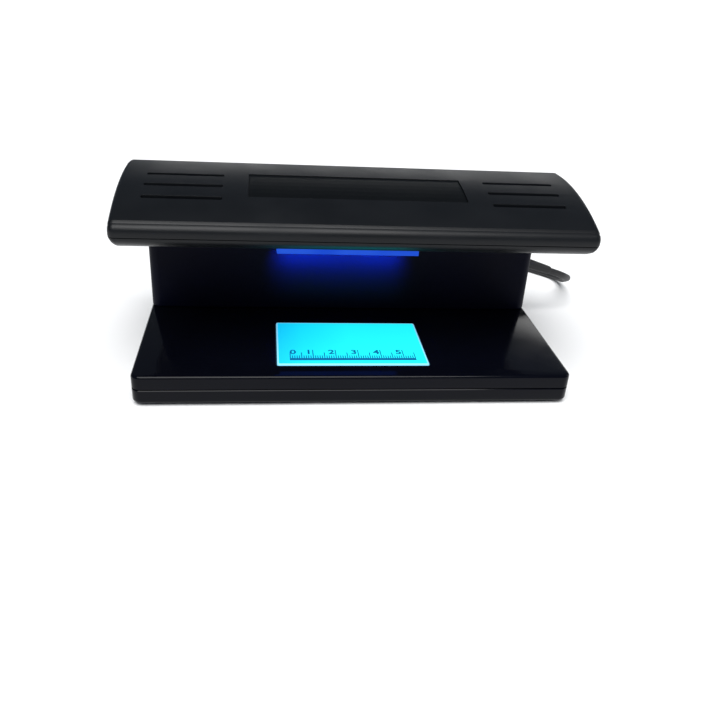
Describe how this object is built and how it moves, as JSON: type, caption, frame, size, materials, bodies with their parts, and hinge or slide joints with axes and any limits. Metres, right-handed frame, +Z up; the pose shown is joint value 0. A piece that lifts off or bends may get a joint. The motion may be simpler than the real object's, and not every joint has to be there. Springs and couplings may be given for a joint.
{
  "type": "counterfeit bill detector",
  "caption": "Counter-top ultraviolet banknote checker: flat base with a ruler plate, low column, overhanging lamp hood with vents, rear rocker switch and mains lead.",
  "frame": {"origin": "on the counter, under the middle of the body without its mains lead", "axes": "+X to the right seen from the front, +Y to the back (the side with the switch), +Z up"},
  "size_m": [0.237, 0.1895, 0.084],
  "materials": {
    "satin_black": "satin",
    "gloss_black": "gloss",
    "dark_label": "satin",
    "scale_plate": "satin",
    "rubber": "matte",
    "lamp_glass": "gloss",
    "lens_violet": "gloss",
    "white_plastic": "satin",
    "aluminium": "satin",
    "steel": "satin",
    "brass": "satin",
    "board_green": "satin",
    "copper": "satin",
    "capacitor": "satin",
    "lead_white": "satin",
    "lead_blue": "satin"
  },
  "bodies": {
    "housing": {"base_tray": "gloss_black", "bed_shell": "gloss_black", "foot_1": "rubber", "foot_2": "rubber", "foot_3": "rubber", "foot_4": "rubber", "ruler_plate": "scale_plate", "column_shell": "gloss_black", "rear_cover": "satin_black", "head_lower_shell": "satin_black", "hood_cover": "satin_black", "label_plate": "dark_label", "window_lens": "lens_violet", "lamp_holder_left": "white_plastic", "lamp_holder_right": "white_plastic", "reflector": "aluminium", "board_screw_1": "steel", "board_screw_2": "steel", "ballast_board": "board_green", "ballast_transformer": "copper", "ballast_capacitor": "capacitor", "terminal_block": "white_plastic", "lamp_lead_left": "lead_white", "lamp_lead_right": "lead_white", "switch_lead": "lead_blue", "switch_housing": "gloss_black", "switch_terminal_1": "brass", "switch_terminal_2": "brass", "base_screw_1": "steel", "base_screw_2": "steel", "base_screw_3": "steel", "base_screw_4": "steel", "rear_screw_1": "steel", "rear_screw_2": "steel", "strain_relief": "rubber", "power_cord": "rubber", "cord_tail": "rubber", "cord_coil": "rubber", "cord_tie": "rubber", "plug_body": "rubber", "plug_pin_1": "brass", "plug_pin_2": "brass"},
    "lamp": {"uv_lamp_tube": "lamp_glass", "lamp_cap_left": "aluminium", "lamp_cap_right": "aluminium"},
    "rocker": {"switch_rocker": "gloss_black"}
  },
  "joints": [
    {"name": "lamp_twist", "type": "hinge", "parent": "housing", "child": "lamp", "pos_m": [0, -0.014, 0.0681], "axis": [1, 0, 0], "range_deg": [0, 90]},
    {"name": "rocker_tilt", "type": "hinge", "parent": "housing", "child": "rocker", "pos_m": [0.015, 0.02629, 0.07155], "axis": [0, 0.8299, -0.5579], "range_deg": [-24, 0]}
  ]
}
